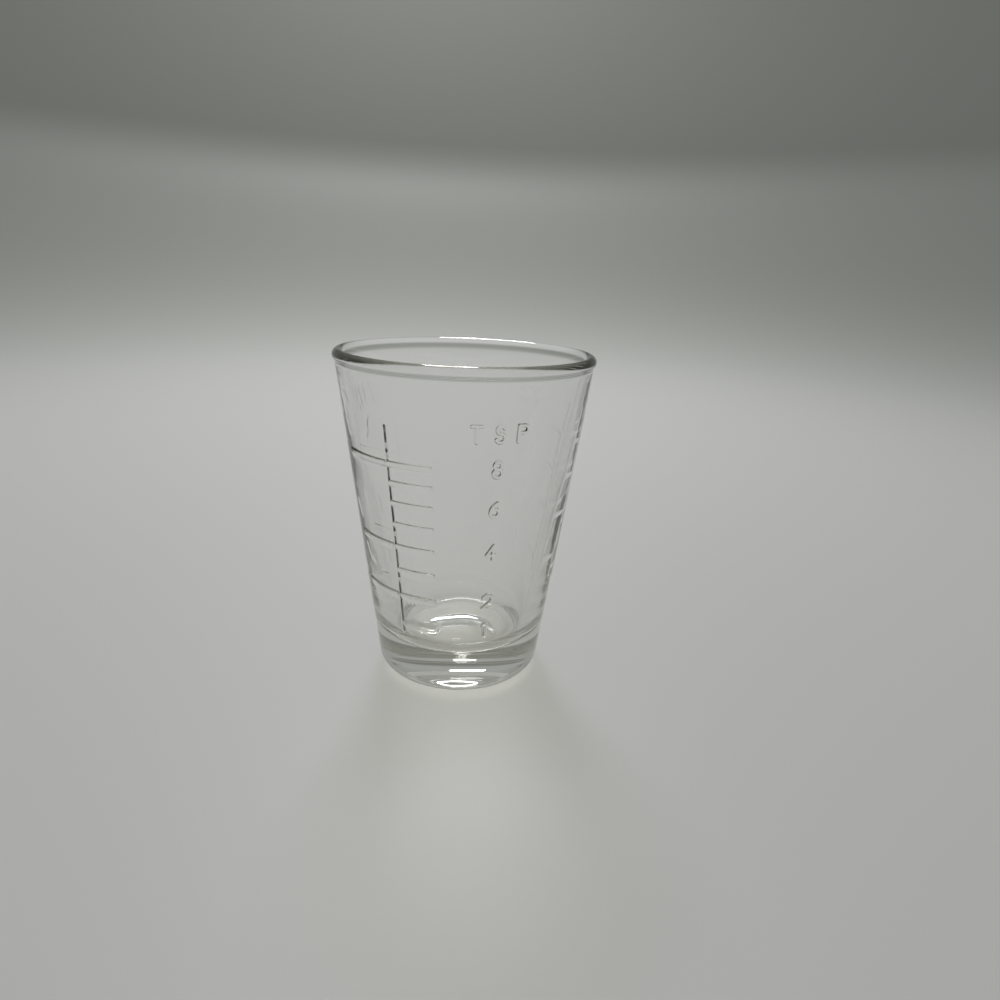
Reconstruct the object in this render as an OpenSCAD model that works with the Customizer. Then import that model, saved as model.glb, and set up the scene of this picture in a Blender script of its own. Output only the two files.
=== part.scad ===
// Pressed glass measuring jigger: one tapered tumbler with three raised scales on the outside of its wall.
// Millimetres, +Z up. The origin is on the axis, at the level of the surface that the glass stands on.
// Azimuths are in degrees from the front (-Y), positive towards +X, which is to the right seen from the front.
// Each raised mark seats on the wall's cone face to face, so that it can be picked out from the body.

/* [Outside] */
// Height from the table to the top of the rim
height = 62; // [60:0.5:90]
// Radius of the wall's cone at the level of the rim
rim_r = 23.5; // [22:0.1:30]
// Radius of the wall's cone at the level of the table
base_r = 15.7; // [14.5:0.1:19.5]
// Radius of the rounded heel between wall and underside
heel_r = 2.9; // [1:0.1:4]
// Radius of the shallow dish in the underside
dish_r = 8.4; // [5:0.1:10.5]
// Depth of that dish on the axis
dish_depth = 1.3; // [0.4:0.1:2]

/* [Rim] */
// Radius of the bead's round section
bead_r = 1.1; // [0.9:0.05:1.5]
// How far the bead stands out from the wall
bead_proud = 0.3; // [0.1:0.05:0.6]
// Radius of the hollow that blends the bead's underside into the wall
blend_r = 2; // [0.5:0.1:3]

/* [Cavity] */
// Thickness of glass on the axis, from the table to the cavity's floor
floor_t = 7.4; // [5:0.1:9]
// Radius at which the cavity's wall would meet its floor
floor_r = 12.5; // [9:0.1:13]
// Radius of the round corner between them
corner_r = 5; // [1:0.1:5.5]

/* [Measure] */
// Volume up to the top line in millilitres, which is one fluid ounce
full_ml = 29.57; // [24:0.01:32]
// Number of spoons that the top line stands for
spoons = 8; // [8]

/* [Raised marks] */
// How far a mark stands out from the wall
raise = 0.35; // [0.2:0.05:0.6]
// Width of a scale line where it meets the wall
line_w = 1.1; // [0.6:0.1:1.6]
// Width of the flat along a scale line's crest
crest_w = 0.4; // [0.2:0.1:0.6]
// Width of the upright line of a scale
spine_w = 0.7; // [0.5:0.1:1.2]
// How far an upright rises above its top line
spine_over = 6.1; // [2:0.1:7]
// How far an upright reaches below its lowest line
spine_under = 2.1; // [1:0.1:3]
// Height of a numeral or letter
glyph_h = 3.5; // [2.8:0.1:4]
// Width of a numeral or letter
glyph_w = 2.4; // [2:0.1:2.8]
// Width of the strokes that they are drawn with
stroke_w = 0.8; // [0.5:0.05:0.9]
// Height of a heading's middle above the top line
heading_rise = 6; // [5:0.1:7]
// Angle from one letter of a heading to the next
letter_step = 9.9; // [8:0.1:12]
// Size of a fraction's figures, as a part of a whole numeral's
fraction_size = 0.62; // [0.5:0.01:0.7]

/* [Places round the wall] */
// Azimuth of the upright that the teaspoon and tablespoon lines share
spoon_spine_at = -35.3; // [-40:0.1:-30]
// Azimuth where the teaspoon lines end
teaspoon_end = -13.9; // [-20:0.1:-10]
// Azimuth of the teaspoon numerals
teaspoon_figures = 15.2; // [5:0.1:25]
// Azimuth where the tablespoon lines end
tablespoon_end = -64; // [-70:0.5:-55]
// Azimuth of the tablespoon numerals
tablespoon_figures = -100; // [-110:0.5:-90]
// Azimuth of the ounce scale's upright
ounce_spine_at = 88; // [80:0.5:100]
// Azimuth where the ounce lines end
ounce_end = 110; // [105:0.5:120]
// Azimuth of the ounce numerals
ounce_figures = 136; // [130:0.5:145]

/* [Hidden] */
$fn = 96;
glass = [0.80, 0.87, 0.85, 0.45];
mark = [0.62, 0.72, 0.70, 0.8];

// The wall's outer cone
lean = atan((rim_r - base_r) / height);
function wall_r(z) = base_r + (rim_r - base_r) * z / height;

// The bead's centre in the half section, and the foot of its perpendicular on the wall
bead_z = height - bead_r;
bead_x = wall_r(bead_z) + bead_proud - bead_r;
bead_in = (bead_x - wall_r(bead_z)) * cos(lean);
bead_foot = [bead_x, bead_z] - bead_in * [cos(lean), -sin(lean)];

// The hollow under the bead touches the bead and the wall
blend_drop = sqrt(pow(bead_r + blend_r, 2) - pow(blend_r - bead_in, 2));
blend_foot = bead_foot - blend_drop * [sin(lean), cos(lean)];
blend_c = blend_foot + blend_r * [cos(lean), -sin(lean)];

// The heel touches the table and the wall
heel_x = wall_r(heel_r) - heel_r / cos(lean);
heel_top = [heel_x + heel_r * cos(lean), heel_r - heel_r * sin(lean)];

// The inner wall runs from the cavity's floor up to the inside of the bead, which it touches
inner_run = [bead_x - floor_r, bead_z - floor_t];
inner_lean = atan(inner_run[0] / inner_run[1]) - asin(bead_r / norm(inner_run));
inner_top = [bead_x - bead_r * cos(inner_lean), bead_z + bead_r * sin(inner_lean)];

// The round corner touches the floor and the inner wall
corner_cut = corner_r * tan((90 - inner_lean) / 2);
corner_c = [floor_r - corner_cut, floor_t + corner_r];
corner_top = [floor_r + corner_cut * sin(inner_lean), floor_t + corner_cut * cos(inner_lean)];

// Sphere that the dish in the underside is part of
dish_ball_r = (pow(dish_r, 2) + pow(dish_depth, 2)) / (2 * dish_depth);

// The cavity is a cone from its floor up, less the glass that fills its round corner
corner_area = corner_cut * corner_r - PI * pow(corner_r, 2) * (90 - inner_lean) / 360;
corner_ml = corner_area * 2 * PI * (floor_r - corner_cut / 3) / 1000;
function fill_r(ml) = pow(pow(floor_r, 3) + 3000 * (ml + corner_ml) * tan(inner_lean) / PI, 1 / 3);
function fill_z(ml) = floor_t + (fill_r(ml) - floor_r) / tan(inner_lean);
function spoon_z(n) = fill_z(full_ml * n / spoons);

// Strokes run inside the box of a numeral by half their width
half_w = (glyph_w - stroke_w) / 2;
half_h = (glyph_h - stroke_w) / 2;
upper_r = half_h * 0.46;
lower_r = half_h - upper_r;

// A stroke's round ends are a little wider than the stroke
stroke_end = stroke_w * 1.06;

// A fraction's figures stand this far to the sides of its middle, and above and below it
fraction_spread = glyph_w * 0.42;
fraction_shift = glyph_h * 0.22;

// Straight stroke with round ends, at k times its full size
module bar(from, to, k = 1) {
    run = k * (to - from);
    translate(k * from) circle(d = k * stroke_end, $fn = 24);
    translate(k * to) circle(d = k * stroke_end, $fn = 24);
    translate(k * from)
        rotate(atan2(run[1], run[0]))
            translate([0, -k * stroke_w / 2])
                square([norm(run), k * stroke_w]);
}

// Round stroke about a centre, from one angle to a larger one, with round ends, at k times its full size
module bow(centre, r, from, to, k = 1) {
    steps = ceil((to - from) / 45);
    reach = 2 * k * (r + stroke_w);
    translate(k * centre) {
        intersection() {
            difference() {
                circle(r = k * (r + stroke_w / 2), $fn = 48);
                circle(r = k * (r - stroke_w / 2), $fn = 48);
            }
            polygon(concat([[0, 0]],
                [for (i = [0:steps]) let (a = from + (to - from) * i / steps) reach * [cos(a), sin(a)]]));
        }
        rotate(from) translate([k * r, 0]) circle(d = k * stroke_end, $fn = 24);
        rotate(to) translate([k * r, 0]) circle(d = k * stroke_end, $fn = 24);
    }
}

// Closed ring stroke
module ring(centre, r) {
    translate(centre)
        difference() {
            circle(r = r + stroke_w / 2, $fn = 48);
            circle(r = r - stroke_w / 2, $fn = 48);
        }
}

module figure_1(k = 1) {
    bar([0, -half_h], [0, half_h], k);
    bar([0, half_h], [-half_w * 0.7, half_h * 0.6], k);
}

module figure_2(k = 1) {
    bow([0, half_h - half_w], half_w, -35, 170, k);
    bar([half_w * cos(-35), half_h - half_w + half_w * sin(-35)], [-half_w, -half_h], k);
    bar([-half_w, -half_h], [half_w, -half_h], k);
}

module figure_3(k = 1) {
    bow([0, half_h - upper_r], upper_r, -90, 150, k);
    bow([0, lower_r - half_h], lower_r, -150, 90, k);
}

module figure_4(k = 1) {
    bar([half_w * 0.4, -half_h], [half_w * 0.4, half_h], k);
    bar([half_w * 0.4, half_h], [-half_w, -half_h * 0.35], k);
    bar([-half_w, -half_h * 0.35], [half_w, -half_h * 0.35], k);
}

module figure_6() {
    tail_r = 2 * half_h - lower_r;
    ring([0, lower_r - half_h], lower_r);
    bow([tail_r - lower_r, lower_r - half_h], tail_r, 115, 180);
}

module figure_8() {
    ring([0, half_h - upper_r], upper_r);
    ring([0, lower_r - half_h], lower_r);
}

module letter_t() {
    bar([-half_w, half_h], [half_w, half_h]);
    bar([0, half_h], [0, -half_h]);
}

module letter_s() {
    bow([0, half_h - upper_r], upper_r, 20, 270);
    bow([0, lower_r - half_h], lower_r, -160, 90);
}

module letter_p() {
    bar([-half_w, -half_h], [-half_w, half_h]);
    bar([-half_w, half_h], [half_w - upper_r, half_h]);
    bar([-half_w, half_h - 2 * upper_r], [half_w - upper_r, half_h - 2 * upper_r]);
    bow([half_w - upper_r, half_h - upper_r], upper_r, -90, 90);
}

module letter_b() {
    letter_p();
    bar([-half_w, -half_h], [half_w - lower_r, -half_h]);
    bow([half_w - lower_r, lower_r - half_h], lower_r, -90, 90);
}

module letter_o() {
    bow([0, half_h - half_w], half_w, 0, 180);
    bow([0, half_w - half_h], half_w, 180, 360);
    bar([-half_w, half_w - half_h], [-half_w, half_h - half_w]);
    bar([half_w, half_w - half_h], [half_w, half_h - half_w]);
}

module letter_z() {
    bar([-half_w, half_h], [half_w, half_h]);
    bar([half_w, half_h], [-half_w, -half_h]);
    bar([-half_w, -half_h], [half_w, -half_h]);
}

// Moves a fraction's upper figure to the left and up, or its lower one, with side -1, to the right and down
module fraction_half(side) {
    translate(side * [-fraction_spread, fraction_shift]) children();
}

// Slanting stroke between a fraction's figures
module fraction_slash() {
    bar([-fraction_spread, -half_h * 1.3], [fraction_spread, half_h * 1.3], fraction_size);
}

// Lays a flat drawing on the wall and keeps what lies between the wall and a cone outside it
module raised(azimuth, z) {
    intersection() {
        rotate([0, 0, azimuth])
            translate([0, -wall_r(z), z])
                rotate([90 + lean, 0, 0])
                    linear_extrude(height = 4 * raise + 2, center = true) children();
        difference() {
            cylinder(h = height, r1 = base_r + raise / cos(lean), r2 = rim_r + raise / cos(lean), $fn = 180);
            cylinder(h = height, r1 = base_r, r2 = rim_r, $fn = 180);
        }
    }
}

// One line of a scale: a low ridge with sloping sides, along the wall between two azimuths
module scale_line(z, from, to) {
    low = z - line_w / 2;
    high = z + line_w / 2;
    crest_low = z - crest_w / 2;
    crest_high = z + crest_w / 2;
    rotate([0, 0, from - 90])
        rotate_extrude(angle = to - from, $fn = 180)
            polygon([[wall_r(low), low], [wall_r(crest_low) + raise, crest_low],
                     [wall_r(crest_high) + raise, crest_high], [wall_r(high), high]]);
}

// Upright of a scale, from its lowest line to above its highest
module spine(azimuth, low, high) {
    raised(azimuth, (low + high) / 2)
        square([spine_w, (high - low) / cos(lean)], center = true);
}

// Angle that half the upright's width takes up at a height
function spine_half(z) = asin(spine_w / 2 / wall_r(z));

// Letters side by side about the middle azimuth of a heading
module letter_at(azimuth, place, count) {
    raised(azimuth + (place - (count - 1) / 2) * letter_step, spoon_z(spoons) + heading_rise) children();
}

module glass_body() {
    color(glass)
        rotate_extrude($fn = 180)
            difference() {
                union() {
                    polygon([[0, 0], [heel_x, 0], [heel_x, heel_r], heel_top, bead_foot, [bead_x, bead_z], inner_top,
                             corner_top, corner_c, [floor_r - corner_cut, floor_t], [0, floor_t]]);
                    intersection() {
                        translate([heel_x, heel_r]) circle(r = heel_r);
                        polygon([[heel_x, heel_r], [heel_x, -heel_r], [base_r + heel_r, -heel_r], heel_top]);
                    }
                    translate([bead_x, bead_z]) circle(r = bead_r);
                    difference() {
                        polygon([bead_foot, blend_foot, blend_c, [bead_x, bead_z]]);
                        translate(blend_c) circle(r = blend_r);
                    }
                }
                translate(corner_c) circle(r = corner_r);
                translate([0, dish_depth - dish_ball_r]) circle(r = dish_ball_r, $fn = 360);
            }
}

module spoon_spine() {
    color(mark) spine(spoon_spine_at, spoon_z(1) - spine_under, spoon_z(spoons) + spine_over);
}

module teaspoon_lines() {
    color(mark)
        for (n = [1:spoons])
            scale_line(spoon_z(n), spoon_spine_at + spine_half(spoon_z(n)), teaspoon_end);
}

module teaspoon_numerals() {
    color(mark) {
        raised(teaspoon_figures, spoon_z(8)) figure_8();
        raised(teaspoon_figures, spoon_z(6)) figure_6();
        raised(teaspoon_figures, spoon_z(4)) figure_4();
        raised(teaspoon_figures, spoon_z(2)) figure_2();
        raised(teaspoon_figures, spoon_z(1)) figure_1();
    }
}

module teaspoon_heading() {
    color(mark) {
        letter_at(teaspoon_figures, 0, 3) letter_t();
        letter_at(teaspoon_figures, 1, 3) letter_s();
        letter_at(teaspoon_figures, 2, 3) letter_p();
    }
}

module tablespoon_lines() {
    color(mark)
        for (n = [2, 4, 8])
            scale_line(spoon_z(n), tablespoon_end, spoon_spine_at - spine_half(spoon_z(n)));
}

module tablespoon_numerals() {
    color(mark) {
        raised(tablespoon_figures, spoon_z(8)) figure_2();
        raised(tablespoon_figures, spoon_z(4)) figure_1();
        raised(tablespoon_figures, spoon_z(2)) {
            fraction_half(1) figure_1(fraction_size);
            fraction_half(-1) figure_2(fraction_size);
            fraction_slash();
        }
    }
}

module tablespoon_heading() {
    color(mark) {
        letter_at(tablespoon_figures, 0, 4) letter_t();
        letter_at(tablespoon_figures, 1, 4) letter_b();
        letter_at(tablespoon_figures, 2, 4) letter_s();
        letter_at(tablespoon_figures, 3, 4) letter_p();
    }
}

module ounce_spine() {
    color(mark) spine(ounce_spine_at, spoon_z(2) - spine_under, spoon_z(spoons) + spine_over);
}

module ounce_lines() {
    color(mark)
        for (n = [2, 4, 6, 8])
            scale_line(spoon_z(n), ounce_spine_at + spine_half(spoon_z(n)), ounce_end);
}

module ounce_numerals() {
    color(mark) {
        raised(ounce_figures, spoon_z(8)) figure_1();
        raised(ounce_figures, spoon_z(6)) {
            fraction_half(1) figure_3(fraction_size);
            fraction_half(-1) figure_4(fraction_size);
            fraction_slash();
        }
        raised(ounce_figures, spoon_z(4)) {
            fraction_half(1) figure_1(fraction_size);
            fraction_half(-1) figure_2(fraction_size);
            fraction_slash();
        }
        raised(ounce_figures, spoon_z(2)) {
            fraction_half(1) figure_1(fraction_size);
            fraction_half(-1) figure_4(fraction_size);
            fraction_slash();
        }
    }
}

module ounce_heading() {
    color(mark) {
        letter_at(ounce_figures, 0, 2) letter_o();
        letter_at(ounce_figures, 1, 2) letter_z();
    }
}

glass_body();
spoon_spine();
teaspoon_lines();
teaspoon_numerals();
teaspoon_heading();
tablespoon_lines();
tablespoon_numerals();
tablespoon_heading();
ounce_spine();
ounce_lines();
ounce_numerals();
ounce_heading();
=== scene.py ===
import math

import bpy
import numpy as np
from mathutils import Matrix, Vector


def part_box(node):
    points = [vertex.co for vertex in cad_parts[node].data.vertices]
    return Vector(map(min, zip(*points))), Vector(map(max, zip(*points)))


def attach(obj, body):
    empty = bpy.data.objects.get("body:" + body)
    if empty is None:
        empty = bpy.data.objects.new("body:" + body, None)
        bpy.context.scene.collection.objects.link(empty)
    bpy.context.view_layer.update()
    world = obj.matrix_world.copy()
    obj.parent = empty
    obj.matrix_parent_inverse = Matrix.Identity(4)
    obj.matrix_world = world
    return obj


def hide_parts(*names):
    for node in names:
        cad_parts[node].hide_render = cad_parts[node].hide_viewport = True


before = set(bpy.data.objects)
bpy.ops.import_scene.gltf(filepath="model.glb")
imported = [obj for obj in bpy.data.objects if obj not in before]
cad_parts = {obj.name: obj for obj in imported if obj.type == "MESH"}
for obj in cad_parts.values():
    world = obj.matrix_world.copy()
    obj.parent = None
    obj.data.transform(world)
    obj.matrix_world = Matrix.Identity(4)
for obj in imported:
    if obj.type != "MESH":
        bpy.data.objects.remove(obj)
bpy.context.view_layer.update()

# The camera
# It stands close to the glass, a little over its rim, and looks down on it through a wide lens, with its
# right side a little low.
MM = 0.001
lens_mm = 25.2
sensor_mm = 36
stand_back = 128.8 * MM
stand_over = 76.3 * MM
nearest = 10 * MM
turned_right, turned_down, rolled = (math.radians(a) for a in (3.27, 18.36, 2.41))

ahead = Vector((math.sin(turned_right) * math.cos(turned_down),
                math.cos(turned_right) * math.cos(turned_down), -math.sin(turned_down)))
to_the_right = Vector((math.cos(turned_right), -math.sin(turned_right), 0))
upward = to_the_right.cross(ahead)
picture_right = math.cos(rolled) * to_the_right + math.sin(rolled) * upward
picture_up = math.cos(rolled) * upward - math.sin(rolled) * to_the_right
turned = Matrix((picture_right, picture_up, -ahead)).transposed().to_4x4()

scene = bpy.context.scene
camera = bpy.data.objects.new("camera", bpy.data.cameras.new("camera"))
camera.data.lens = lens_mm
camera.data.sensor_width = sensor_mm
camera.data.clip_start = nearest
camera.matrix_world = Matrix.Translation((0, -stand_back, stand_over)) @ turned
scene.collection.objects.link(camera)
scene.camera = camera

# The glass body's outline
# A plunger presses one gob of clear soda-lime glass in a mould: a tapered wall, a thick base with a shallow
# dish under it, and a rim that the fire polish rounds to a bead. Half sections are (radius, height) in mm.
body_low, body_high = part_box("glass_body")
height = (body_high.z - body_low.z) / MM
bead_out = (body_high.x - body_low.x) / 2 / MM
rim_r, base_r = 23.5, 15.7
bead_r, blend_r = 1.1, 2.0
heel_r = 2.9
dish_r, dish_depth, dish_edge_r = 8.4, 1.3, 0.6
floor_r, floor_t, corner_r = 12.5, 7.4, 5.0

lean = math.atan((rim_r - base_r) / height)
out_of_wall = np.array([math.cos(lean), -math.sin(lean)])
up_the_wall = np.array([math.sin(lean), math.cos(lean)])


def wall_r(z):
    """The wall's outer radius at a height."""
    return base_r + (rim_r - base_r) * z / height


def arc(centre, r, start, end, step=6):
    """Points round a centre, from one angle in degrees to another."""
    turn = np.radians(np.linspace(start, end, max(2, round(abs(end - start) / step) + 1)))
    return np.array(centre) + r * np.stack([np.cos(turn), np.sin(turn)], axis=1)


def straight(start, end, step=0.9):
    """Points along a straight, without its ends."""
    start, end = np.array(start), np.array(end)
    count = max(2, round(np.linalg.norm(end - start) / step))
    return start + (end - start) * (np.arange(1, count) / count)[:, None]


# The blend under the bead touches both the bead and the wall
bead = np.array([bead_out - bead_r, height - bead_r])
bead_in = (bead[0] - wall_r(bead[1])) * math.cos(lean)
blend_drop = math.sqrt((bead_r + blend_r) ** 2 - (blend_r - bead_in) ** 2)
wall_top = bead - bead_in * out_of_wall - blend_drop * up_the_wall
blend = wall_top + blend_r * out_of_wall
bead_turn = math.degrees(math.atan2(*(blend - bead)[::-1]))

# The heel touches the wall and the flat foot
heel = np.array([wall_r(heel_r) - heel_r / math.cos(lean), heel_r])
wall_foot = heel + heel_r * out_of_wall

# The cavity's wall runs from the bead towards the floor's edge, and the corner touches it and the floor
inner_run = bead - (floor_r, floor_t)
inner_lean = math.atan2(*inner_run) - math.asin(bead_r / np.linalg.norm(inner_run))
corner_cut = corner_r * math.tan((math.pi / 2 - inner_lean) / 2)
corner = np.array([floor_r - corner_cut, floor_t + corner_r])

# The dish is a cap of a ball, and its edge is rounded over to the flat foot
dish_ball_r = (dish_r ** 2 + dish_depth ** 2) / (2 * dish_depth)
edge_out = math.sqrt((dish_ball_r + dish_edge_r) ** 2 - (dish_ball_r - dish_depth + dish_edge_r) ** 2)
edge_turn = math.degrees(math.asin(edge_out / (dish_ball_r + dish_edge_r)))

# One outline from the axis under the glass to the wall's foot, and one from the wall's top to the axis again
dish_part = arc((0, dish_depth - dish_ball_r), dish_ball_r, 90, 90 - edge_turn, step=0.7)
edge_part = arc((edge_out, dish_edge_r), dish_edge_r, 270 - edge_turn, 270, step=3)[1:]
heel_part = arc(heel, heel_r, -90, -math.degrees(lean), step=5)
under = np.concatenate([dish_part, edge_part, straight(edge_part[-1], heel_part[0]), heel_part[:-1]])

blend_part = arc(blend, blend_r, 180 - math.degrees(lean), 180 + bead_turn, step=5)[1:]
bead_part = arc(bead, bead_r, bead_turn, 180 - math.degrees(inner_lean), step=9)
inner_part = arc(corner, corner_r, -math.degrees(inner_lean), -90, step=5)
over = np.concatenate([blend_part, bead_part[1:], straight(bead_part[-1], inner_part[0], step=1.2),
                       inner_part, straight(inner_part[-1], (0, floor_t), step=1.2), [(0, floor_t)]])

# The raised marks
# Three scales, their numerals and their headings are cut into the mould, so they stand out of the wall as
# relief of the same glass. A mark is a set of strokes in its own place on the wall, in mm. Its azimuth is in
# degrees round the glass from the front, to the right.
full_ml, spoons = 29.57, 8
mm3_per_ml = 1000
spoon_spine_at, teaspoon_end, tablespoon_end = -35.3, -13.9, -64
teaspoon_figures, tablespoon_figures = 15.2, -100
ounce_spine_at, ounce_end, ounce_figures = 88, 110, 136
spine_w, spine_over, spine_under = 0.7, 6.1, 2.1
heading_rise, letter_step = 6.0, 9.9

# The fire polish leaves a ridge of each stroke: half its crest, its side, its side towards the foot, and its
# height. The marks round the side and back, which the front shows only as blurs, are lower and softer
stroke_ridge = (0.20, 0.14, 0.14, 0.38)
spine_ridge = (0.03, 0.32, 0.32, 0.26)
line_ridge = (0.12, 0.14, 0.95, 0.27)
worn_ridge = (0.10, 0.95, 1.10, 0.16)
side_ridge = (0.10, 0.45, 0.45, 0.30)

stroke_w, glyph_w, glyph_h = 0.8, 2.4, 3.5
half_w, half_h = (glyph_w - stroke_w) / 2, (glyph_h - stroke_w) / 2
upper_r = half_h * 0.46
lower_r = half_h - upper_r
one_flag = (-half_w * 0.7, half_h * 0.6)
four_stem, four_bar = half_w * 0.4, -half_h * 0.35
fraction_size, fraction_out, fraction_up, slash_reach = 0.62, 0.42, 0.22, 1.3


def spoon_z(n):
    """Height to which n spoons fill the cavity: a cone, less the glass in its round corner."""
    corner_area = corner_cut * corner_r - corner_r ** 2 * (math.pi / 2 - inner_lean) / 2
    volume = full_ml * n / spoons * mm3_per_ml + corner_area * 2 * math.pi * (floor_r - corner_cut / 3)
    rise = math.tan(inner_lean)
    return floor_t + ((floor_r ** 3 + 3 * volume * rise / math.pi) ** (1 / 3) - floor_r) / rise


def bow(x, y, r, start, end):
    """A round stroke."""
    return arc((x, y), r, start, end, step=15)


glyphs = {
    "1": [[(0, -half_h), (0, half_h), one_flag]],
    "2": [bow(0, half_h - half_w, half_w, 170, -35), [bow(0, half_h - half_w, half_w, -35, -30)[0],
          (-half_w, -half_h), (half_w, -half_h)]],
    "3": [bow(0, half_h - upper_r, upper_r, 150, -90), bow(0, lower_r - half_h, lower_r, 90, -150)],
    "4": [[(four_stem, -half_h), (four_stem, half_h), (-half_w, four_bar), (half_w, four_bar)]],
    "6": [bow(0, lower_r - half_h, lower_r, 0, 360),
          bow(2 * half_h - 2 * lower_r, lower_r - half_h, 2 * half_h - lower_r, 115, 180)],
    "8": [bow(0, half_h - upper_r, upper_r, 0, 360), bow(0, lower_r - half_h, lower_r, 0, 360)],
    "T": [[(-half_w, half_h), (half_w, half_h)], [(0, half_h), (0, -half_h)]],
    "S": [bow(0, half_h - upper_r, upper_r, 20, 270), bow(0, lower_r - half_h, lower_r, 90, -160)],
    "P": [[(-half_w, -half_h), (-half_w, half_h), (half_w - upper_r, half_h)],
          bow(half_w - upper_r, half_h - upper_r, upper_r, 90, -90),
          [(half_w - upper_r, half_h - 2 * upper_r), (-half_w, half_h - 2 * upper_r)]],
    "O": [bow(0, half_h - half_w, half_w, 0, 180), bow(0, half_w - half_h, half_w, 180, 360),
          [(-half_w, half_h - half_w), (-half_w, half_w - half_h)],
          [(half_w, half_h - half_w), (half_w, half_w - half_h)]],
    "Z": [[(-half_w, half_h), (half_w, half_h), (-half_w, -half_h), (half_w, -half_h)]],
}
glyphs["B"] = glyphs["P"] + [[(-half_w, -half_h), (half_w - lower_r, -half_h)],
                             bow(half_w - lower_r, lower_r - half_h, lower_r, -90, 90)]

marks = []


def put(azimuth, z, strokes, ridge):
    """Adds a mark with its middle at an azimuth and a height."""
    segments = np.concatenate([np.stack([np.array(s[:-1], float), np.array(s[1:], float)], axis=1)
                               for s in strokes])
    marks.append((math.radians(azimuth), z, segments, ridge))


def glyph(azimuth, z, name, ridge=stroke_ridge):
    """A numeral or a letter."""
    put(azimuth, z, glyphs[name], ridge)


def fraction(azimuth, z, above, below, ridge):
    """Small figures over and under a slanting stroke."""
    shift = np.array([glyph_w * fraction_out, -glyph_h * fraction_up])
    strokes = [np.array(s, float) * fraction_size - shift for s in glyphs[above]]
    strokes += [np.array(s, float) * fraction_size + shift for s in glyphs[below]]
    slash = fraction_size * np.array([shift[0], half_h * slash_reach])
    put(azimuth, z, strokes + [[-slash, slash]], ridge)


def heading(azimuth, letters, ridge=stroke_ridge):
    """Letters in a row over a scale's figures."""
    for k, letter in enumerate(letters):
        letter_at = azimuth + (k - (len(letters) - 1) / 2) * letter_step
        glyph(letter_at, spoon_z(spoons) + heading_rise, letter, ridge)


def spine(azimuth, lowest, ridge=spine_ridge):
    """A scale's upright, from under its lowest line to over its highest."""
    bottom, peak = spoon_z(lowest) - spine_under, spoon_z(spoons) + spine_over
    reach = (peak - bottom) / 2 / math.cos(lean)
    put(azimuth, (bottom + peak) / 2, [[(0, -reach), (0, reach)]], ridge)


def spine_half(z):
    """Degrees from a spine's middle to its edge."""
    return math.degrees(spine_w / 2 / wall_r(z))


def scale_line(z, start, end, ridge=line_ridge):
    """A level line from one azimuth to another."""
    reach = wall_r(z) * math.radians(end - start) / 2
    put((start + end) / 2, z, [[(-reach, 0), (reach, 0)]], ridge)


spine(spoon_spine_at, 1)
for n in range(1, spoons + 1):
    z = spoon_z(n)
    scale_line(z, spoon_spine_at + spine_half(z), teaspoon_end)
for n in (8, 6, 4, 2, 1):
    glyph(teaspoon_figures, spoon_z(n), str(n))
heading(teaspoon_figures, "TSP")

for n in (8, 4, 2):
    z = spoon_z(n)
    scale_line(z, tablespoon_end, spoon_spine_at - spine_half(z))
glyph(tablespoon_figures, spoon_z(8), "2", worn_ridge)
glyph(tablespoon_figures, spoon_z(4), "1", worn_ridge)
fraction(tablespoon_figures, spoon_z(2), "1", "2", worn_ridge)
heading(tablespoon_figures, "TBSP", worn_ridge)

spine(ounce_spine_at, 2, side_ridge)
for n in (8, 6, 4, 2):
    z = spoon_z(n)
    scale_line(z, ounce_spine_at + spine_half(z), ounce_end, worn_ridge)
glyph(ounce_figures, spoon_z(8), "1", worn_ridge)
fraction(ounce_figures, spoon_z(6), "3", "4", worn_ridge)
fraction(ounce_figures, spoon_z(4), "1", "2", worn_ridge)
fraction(ounce_figures, spoon_z(2), "1", "4", worn_ridge)
heading(ounce_figures, "OZ", worn_ridge)

# The relief's height over the wall
# Each ridge has sloping sides, rounded a little at crest and foot, and the highest shows where two meet. The
# round stretches, and the stretch past the foot that still gets small cells, are shares of the side.
round_off = 0.2
past_foot = 0.2
spare_mm = 0.2
no_side = 9.0


def ridges(azimuth, z):
    """For points on the wall, the relief's height and the width of the ridge's side that they are on."""
    raised, side_w = np.zeros(len(z)), np.full(len(z), no_side)
    for at, middle, segments, (crest, side_up, side_down, rise) in marks:
        u = wall_r(middle) * ((azimuth - at + math.pi) % (2 * math.pi) - math.pi)
        v = (z - middle) / math.cos(lean)
        reach = np.abs(segments).max(axis=(0, 1)) + crest + side_down + spare_mm
        near = np.flatnonzero((np.abs(u) < reach[0]) & (np.abs(v) < reach[1]))
        point = np.stack([u[near], v[near]], axis=1)
        for start, end in segments:
            run = end - start
            along = np.clip((point - start) @ run / (run @ run), 0, 1)
            away = point - start - along[:, None] * run
            lower = away[:, 1] < 0
            away[lower, 1] *= (crest + side_up) / (crest + side_down)
            # From 0 at the ridge's foot to 1 at its crest
            t = np.clip((crest + side_up - np.hypot(*away.T)) / side_up, -1, 1)
            foot, crown = np.clip(t, 0, round_off), np.clip(1 - t, 0, round_off)
            climb = np.clip(t - round_off, 0, None) + (foot ** 2 - (round_off - crown) ** 2) / (2 * round_off)
            raised[near] = np.maximum(raised[near], rise * climb / (1 - round_off))
            side = np.where(lower, side_down, side_up)
            side_w[near] = np.where(t > -past_foot, np.minimum(side_w[near], side), side_w[near])
    return raised, side_w


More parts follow.
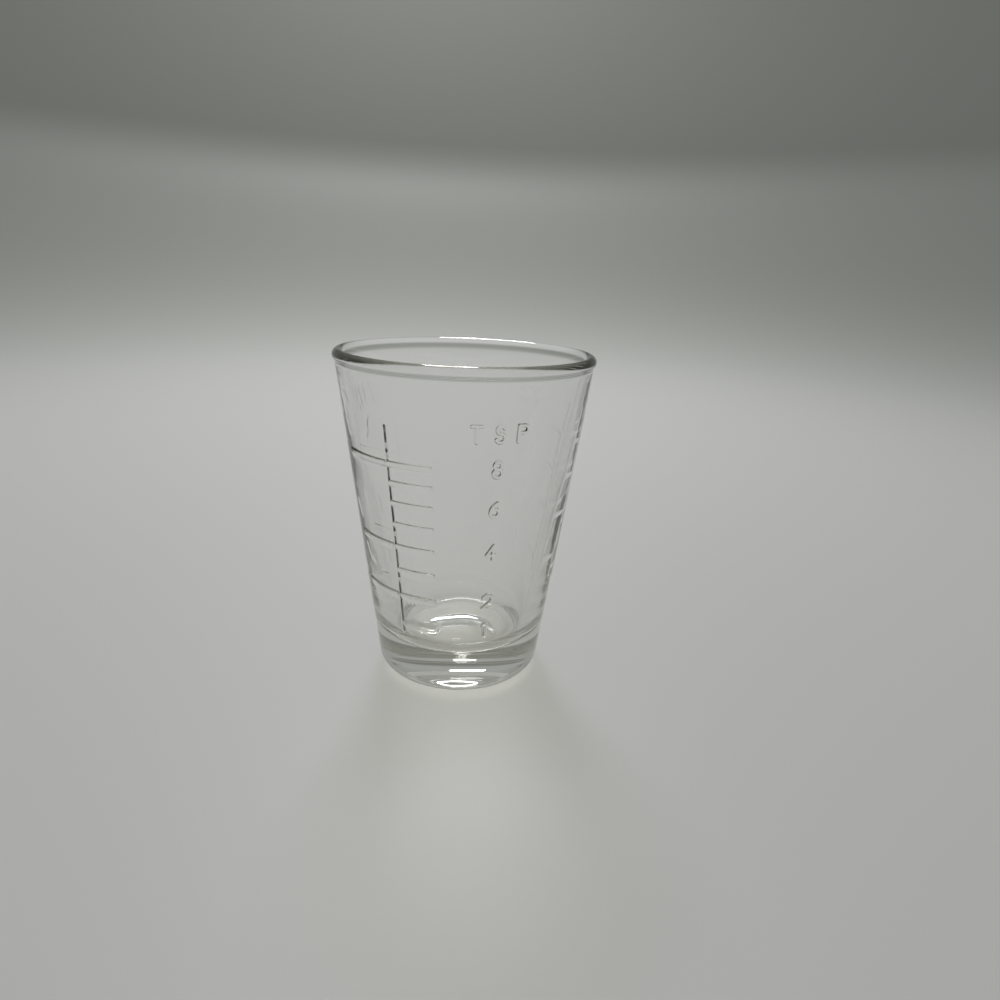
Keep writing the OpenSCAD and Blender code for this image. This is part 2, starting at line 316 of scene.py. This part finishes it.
# The wall's skin
# The outer wall is a net of cells, split down to a sixteenth along the marks' sides, so that their relief is
# in the mesh. A cell is never more than twice its neighbour, and a cell beside smaller ones is a fan.
columns, levels = 144, 4
cells_per_side = 2.2
fine = 2 ** levels
wall_run = np.linalg.norm(wall_top - wall_foot)
rows = round(wall_run / (2 * math.pi * wall_r(height / 2) / columns))
cell = wall_run / rows


def place(i, j):
    """Azimuth and height of a lattice point."""
    return 2 * math.pi * i / (columns * fine), wall_foot[1] + (wall_top[1] - wall_foot[1]) * j / (rows * fine)


split = []


def cells_of(level):
    """Which cells there are at a level: all of them at first, then four for each that was split."""
    if level == 0:
        return np.ones((rows, columns), bool)
    return np.repeat(np.repeat(split[level - 1], 2, axis=0), 2, axis=1)


# A cell is split where it lies on a side of a ridge that is narrower than a few of its widths
for level in range(levels):
    size = 2 ** level
    j, i = np.mgrid[0:rows * size, 0:columns * size]
    there = cells_of(level)
    found = np.zeros(there.shape, bool)
    azimuth, z = place((i[there] + 0.5) * fine / size, (j[there] + 0.5) * fine / size)
    found[there] = ridges(azimuth, z)[1] < cell / size * cells_per_side
    split.append(found)

# Round split cells the level before is split too, so that no cell is more than twice its neighbour
for level in range(levels - 1, 0, -1):
    wide = split[level] | np.roll(split[level], 1, axis=1) | np.roll(split[level], -1, axis=1)
    wide[1:] |= wide[:-1].copy()
    wide[:-1] |= wide[1:].copy()
    rows_now, columns_now = wide.shape
    split[level - 1] |= wide.reshape(rows_now // 2, 2, columns_now // 2, 2).any(axis=(1, 3))

# The cells that stay whole: each one's place and size on the lattice, and which of its neighbours are split
cells = []
for level in range(levels + 1):
    size = 2 ** level
    there = cells_of(level)
    cut = split[level] if level < levels else np.zeros(there.shape, bool)
    none = np.zeros((1, cut.shape[1]), bool)
    beside = [np.concatenate([none, cut[:-1]]), np.roll(cut, -1, axis=1), np.concatenate([cut[1:], none]),
              np.roll(cut, 1, axis=1)]
    for j, i in np.argwhere(there & ~cut):
        cells.append((j * fine // size, i * fine // size, fine // size, [b[j, i] for b in beside]))

lattice = np.full((rows * fine + 1, columns * fine), -1)
wall_faces, used = [], []


def vertex(j, i):
    """The number of the vertex at a lattice point, which is made when it is first asked for."""
    i %= columns * fine
    if lattice[j, i] < 0:
        lattice[j, i] = len(used)
        used.append((j, i))
    return lattice[j, i]


for j, i, size, beside in cells:
    half = size // 2
    edge = [(j, i), (j, i + half), (j, i + size), (j + half, i + size), (j + size, i + size),
            (j + size, i + half), (j + size, i), (j + half, i)]
    edge = [vertex(*p) for k, p in enumerate(edge) if k % 2 == 0 or beside[k // 2]]
    if len(edge) == 4:
        wall_faces.append(edge)
    else:
        middle = vertex(j + half, i + half)
        wall_faces += [(middle, a, b) for a, b in zip(edge, edge[1:] + edge[:1])]

j, i = np.array(used).T
azimuth, z = place(i, j)
raised = ridges(azimuth, z)[0]
skin_r = wall_r(z) + raised * out_of_wall[0]
skin_z = z + raised * out_of_wall[1]

# The whole pressing
# The skin joins the turned rings over it and under it in one closed mesh. The mould and the plunger leave a
# faint ripple in both faces of the wall, which the eye sees where it bends what lies behind.
ripple_h, ripple_fade = 0.02, 8
ripples_round = range(3, 12)
ripple_slant = (0.05, 0.35)
ripple_seed = 11
on_axis = 1e-6


def ripple(azimuth, z, seed):
    """Faint waves round and up the wall, which fade out at its foot and under its rim."""
    draw = np.random.default_rng(seed)
    total = 0
    for count in ripples_round:
        phase, rate = draw.uniform(0, 2 * math.pi), draw.uniform(*ripple_slant)
        total = total + np.cos(count * azimuth + rate * z + phase) / math.sqrt(len(ripples_round))
    fade = np.clip((z - floor_t) / ripple_fade, 0, 1) * np.clip((wall_top[1] - z) / ripple_fade, 0, 1)
    return ripple_h * total * fade


skin_r = skin_r + ripple(azimuth, z, ripple_seed)
points = [np.stack([skin_r * np.sin(azimuth), -skin_r * np.cos(azimuth), skin_z], axis=1)]
ring_azimuth = 2 * math.pi * np.arange(columns) / columns
made = len(skin_r)
rings = {}
for name, outline in (("under", under), ("over", over)):
    rings[name] = []
    for r, z in outline:
        if r < on_axis:
            points.append(np.array([[0, 0, z]]))
            rings[name].append([made])
        else:
            inside = name == "over" and z > floor_t + corner_r and r < bead[0] - bead_r / 2
            wave = ripple(ring_azimuth, z, ripple_seed + 1) if inside else 0
            ring_r = r + wave
            points.append(np.stack([ring_r * np.sin(ring_azimuth), -ring_r * np.cos(ring_azimuth),
                                    np.full(columns, z)], axis=1))
            rings[name].append(list(range(made, made + columns)))
        made += len(points[-1])

# Bands of faces from ring to ring, which close to a fan at the axis
skin_foot = [int(lattice[0, c * fine]) for c in range(columns)]
skin_top = [int(lattice[-1, c * fine]) for c in range(columns)]
faces = [tuple(int(v) for v in face) for face in wall_faces]
for chain in (rings["under"] + [skin_foot], [skin_top] + rings["over"]):
    for a, b in zip(chain[:-1], chain[1:]):
        for c in range(columns):
            d = (c + 1) % columns
            if len(a) == 1:
                faces.append((a[0], b[d], b[c]))
            elif len(b) == 1:
                faces.append((a[c], a[d], b[0]))
            else:
                faces.append((a[c], a[d], b[d], b[c]))

mesh = bpy.data.meshes.new("pressed_glass")
mesh.from_pydata(np.concatenate(points) * MM, [], faces)
mesh.shade_smooth()
glass = bpy.data.objects.new("pressed_glass", mesh)
scene.collection.objects.link(glass)

# Soda-lime glass, pressed and fire polished
# Clear, and a faint warm grey where it is thick: 100 mm of it, as through the base, take two fifths of the
# light. The fire polish leaves it glossy with a faint uneven skin, and handling leaves a dull film in places.
skin_waves = 4 * MM
skin_depth = 0.02 * MM
film_patches = 9 * MM


def linear(code):
    """A colour from its sRGB hex value."""
    parts = [int(code[k:k + 2], 16) / 255 for k in (1, 3, 5)]
    return tuple(p / 12.92 if p <= 0.04045 else ((p + 0.055) / 1.055) ** 2.4 for p in parts) + (1,)


def add(tree, kind, links=(), **settings):
    """Adds a node. Its settings are its own values or its sockets', and its links are (socket, source)."""
    node = tree.nodes.new(kind)
    for name, value in settings.items():
        if hasattr(node, name):
            setattr(node, name, value)
        else:
            node.inputs[name.replace("_", " ")].default_value = value
    for socket, source in links:
        tree.links.new(source, node.inputs[socket])
    return node


def new_material(name):
    """A material with an empty node tree."""
    material = bpy.data.materials.new(name)
    material.use_nodes = True
    material.node_tree.nodes.clear()
    return material, material.node_tree


glass_material, tree = new_material("pressed_soda_lime_glass")
where = add(tree, "ShaderNodeTexCoord").outputs["Object"]
skin = add(tree, "ShaderNodeTexNoise", [("Vector", where)], Scale=1 / skin_waves, Detail=2, Roughness=0.5)
bump = add(tree, "ShaderNodeBump", [("Height", skin.outputs["Fac"])], Strength=0.2, Distance=skin_depth)
film = add(tree, "ShaderNodeTexNoise", [("Vector", where)], Scale=1 / film_patches, Detail=3, Roughness=0.6)
dull = add(tree, "ShaderNodeMapRange", [("Value", film.outputs["Fac"])],
           From_Min=0.45, From_Max=0.75, To_Min=0.0, To_Max=0.03)
body = add(tree, "ShaderNodeBsdfPrincipled", [("Normal", bump.outputs[0]), ("Roughness", dull.outputs[0])],
           IOR=1.52, Transmission_Weight=1, Base_Color=linear("#FEFEFE"))
tint = add(tree, "ShaderNodeVolumeAbsorption", Color=linear("#DCDCD2"), Density=18)

# To the lamp and to the floor's light the glass is a thin clear sheet, so it throws a light shadow and no
# bright patches
clear = add(tree, "ShaderNodeBsdfTransparent", Color=linear("#F8F8F6"))
path = add(tree, "ShaderNodeLightPath")
passing = add(tree, "ShaderNodeMath",
              [(0, path.outputs["Is Shadow Ray"]), (1, path.outputs["Is Diffuse Ray"])], operation="MAXIMUM")
surface = add(tree, "ShaderNodeMixShader",
              [(0, passing.outputs[0]), (1, body.outputs[0]), (2, clear.outputs[0])])
add(tree, "ShaderNodeOutputMaterial", [("Surface", surface.outputs[0]), ("Volume", tint.outputs[0])])
mesh.materials.append(glass_material)
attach(glass, "root")
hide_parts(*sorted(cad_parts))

# The floor
# A pale studio floor that curves up all round into a low wall, in a soft matt paint. Further off the paint
# darkens to grey: painted shade, for the light that falls off on the far floor and the wall. It lies a hair
# under the glass, because two faces in one place would show as black.
floor_flat, sweep_out, sweep_up, wall_over = 0.50, 0.55, 0.25, 0.22
flat_rings, sweep_step, turns = 8, 3, 96
gap = 0.03 * MM
paint_grain, grain_depth = 1.5 * MM, 0.1 * MM
# Distances in m at which the painted shade begins and at which it is full
painted_shade_starts, painted_shade_full = 0.12, 0.95

sweep = [(floor_flat * k / flat_rings, 0.0) for k in range(flat_rings + 1)]
sweep += [(floor_flat + sweep_out * math.sin(t), sweep_up - sweep_up * math.cos(t))
          for t in np.radians(np.arange(sweep_step, 90 + 1, sweep_step))]
sweep += [(floor_flat + sweep_out, sweep_up + wall_over)]
floor_points, floor_faces = [], []
for r, z in sweep:
    floor_points += [(r * math.sin(2 * math.pi * k / turns), r * math.cos(2 * math.pi * k / turns), z - gap)
                     for k in range(turns)]
for ring in range(len(sweep) - 1):
    for k in range(turns):
        a, b = ring * turns, (ring + 1) * turns
        floor_faces.append((a + k, a + (k + 1) % turns, b + (k + 1) % turns, b + k))
floor_mesh = bpy.data.meshes.new("studio_floor")
floor_mesh.from_pydata(floor_points, [], floor_faces)
floor_mesh.shade_smooth()
floor = bpy.data.objects.new("studio_floor", floor_mesh)
scene.collection.objects.link(floor)

floor_material, tree = new_material("studio_floor_paint_and_painted_shade")
where = add(tree, "ShaderNodeTexCoord").outputs["Object"]
grain = add(tree, "ShaderNodeTexNoise", [("Vector", where)], Scale=1 / paint_grain, Detail=3)
bump = add(tree, "ShaderNodeBump", [("Height", grain.outputs["Fac"])], Strength=0.1, Distance=grain_depth)
# Painted shade: the colour goes from the pale floor near the glass to a darker grey far off, where less light
# falls
far_off = add(tree, "ShaderNodeVectorMath", [(0, where)], operation="LENGTH")
shade = add(tree, "ShaderNodeMapRange", [("Value", far_off.outputs["Value"])],
            interpolation_type="SMOOTHSTEP", From_Min=painted_shade_starts, From_Max=painted_shade_full)
paint = add(tree, "ShaderNodeMix", [("Factor", shade.outputs[0])],
            data_type="RGBA", A=linear("#CDCDCB"), B=linear("#8F918D"))
body = add(tree, "ShaderNodeBsdfPrincipled",
           [("Normal", bump.outputs[0]), ("Base Color", paint.outputs["Result"])], Roughness=0.55)
add(tree, "ShaderNodeOutputMaterial", [("Surface", body.outputs[0])])
floor_mesh.materials.append(floor_material)

# The room
# The ceiling gives a dim even light. The walls give less, low down, and least at the two sides, which draws
# the dark lines along the glass's edges. Heights and sides are shares of the whole way up or out.
dark_below, light_above = (math.sin(math.radians(a)) for a in (19, 32))
low_strength, high_strength = 0.18, 0.50
side_from, side_to, side_share = 0.45, 0.95, 0.62

world = bpy.data.worlds.new("room")
scene.world = world
world.use_nodes = True
tree = world.node_tree
sky = tree.nodes["Background"]
sky.inputs["Color"].default_value = linear("#E4E6E4")
where = add(tree, "ShaderNodeTexCoord").outputs["Generated"]
direction = add(tree, "ShaderNodeSeparateXYZ", [("Vector", where)])
by_height = add(tree, "ShaderNodeMapRange", [("Value", direction.outputs["Z"])],
                interpolation_type="SMOOTHSTEP", From_Min=dark_below, From_Max=light_above,
                To_Min=low_strength, To_Max=high_strength)
sideways = add(tree, "ShaderNodeMath", [(0, direction.outputs["X"])], operation="ABSOLUTE")
by_side = add(tree, "ShaderNodeMapRange", [("Value", sideways.outputs[0])],
              interpolation_type="SMOOTHSTEP", From_Min=side_from, From_Max=side_to,
              To_Min=1.0, To_Max=side_share)
room_light = add(tree, "ShaderNodeMath", [(0, by_height.outputs[0]), (1, by_side.outputs[0])],
                 operation="MULTIPLY")
tree.links.new(room_light.outputs[0], sky.inputs["Strength"])

# The lamp
# One soft panel stands high behind the glass and is turned down to the floor there, so that it shines through
# the glass. It is small, for short bright lines on the rim and in the base.
lamp_at, lamp_aim = Vector((-0.06, 0.70, 0.83)), Vector((0, 0.30, 0))
lamp_wide, lamp_deep, lamp_watts = 0.21, 0.13, 5.6

lamp = bpy.data.lights.new("soft_panel", "AREA")
lamp.shape = "RECTANGLE"
lamp.size, lamp.size_y, lamp.energy = lamp_wide, lamp_deep, lamp_watts
holder = bpy.data.objects.new("soft_panel", lamp)
scene.collection.objects.link(holder)
holder.location = lamp_at
holder.rotation_euler = (lamp_aim - lamp_at).to_track_quat("-Z", "Y").to_euler()

# Light is followed far enough to leave the thick base, where it is turned back many times
bounces = 32
scene.cycles.max_bounces = bounces
scene.cycles.glossy_bounces = bounces
scene.cycles.transmission_bounces = bounces
scene.view_settings.view_transform = "Standard"
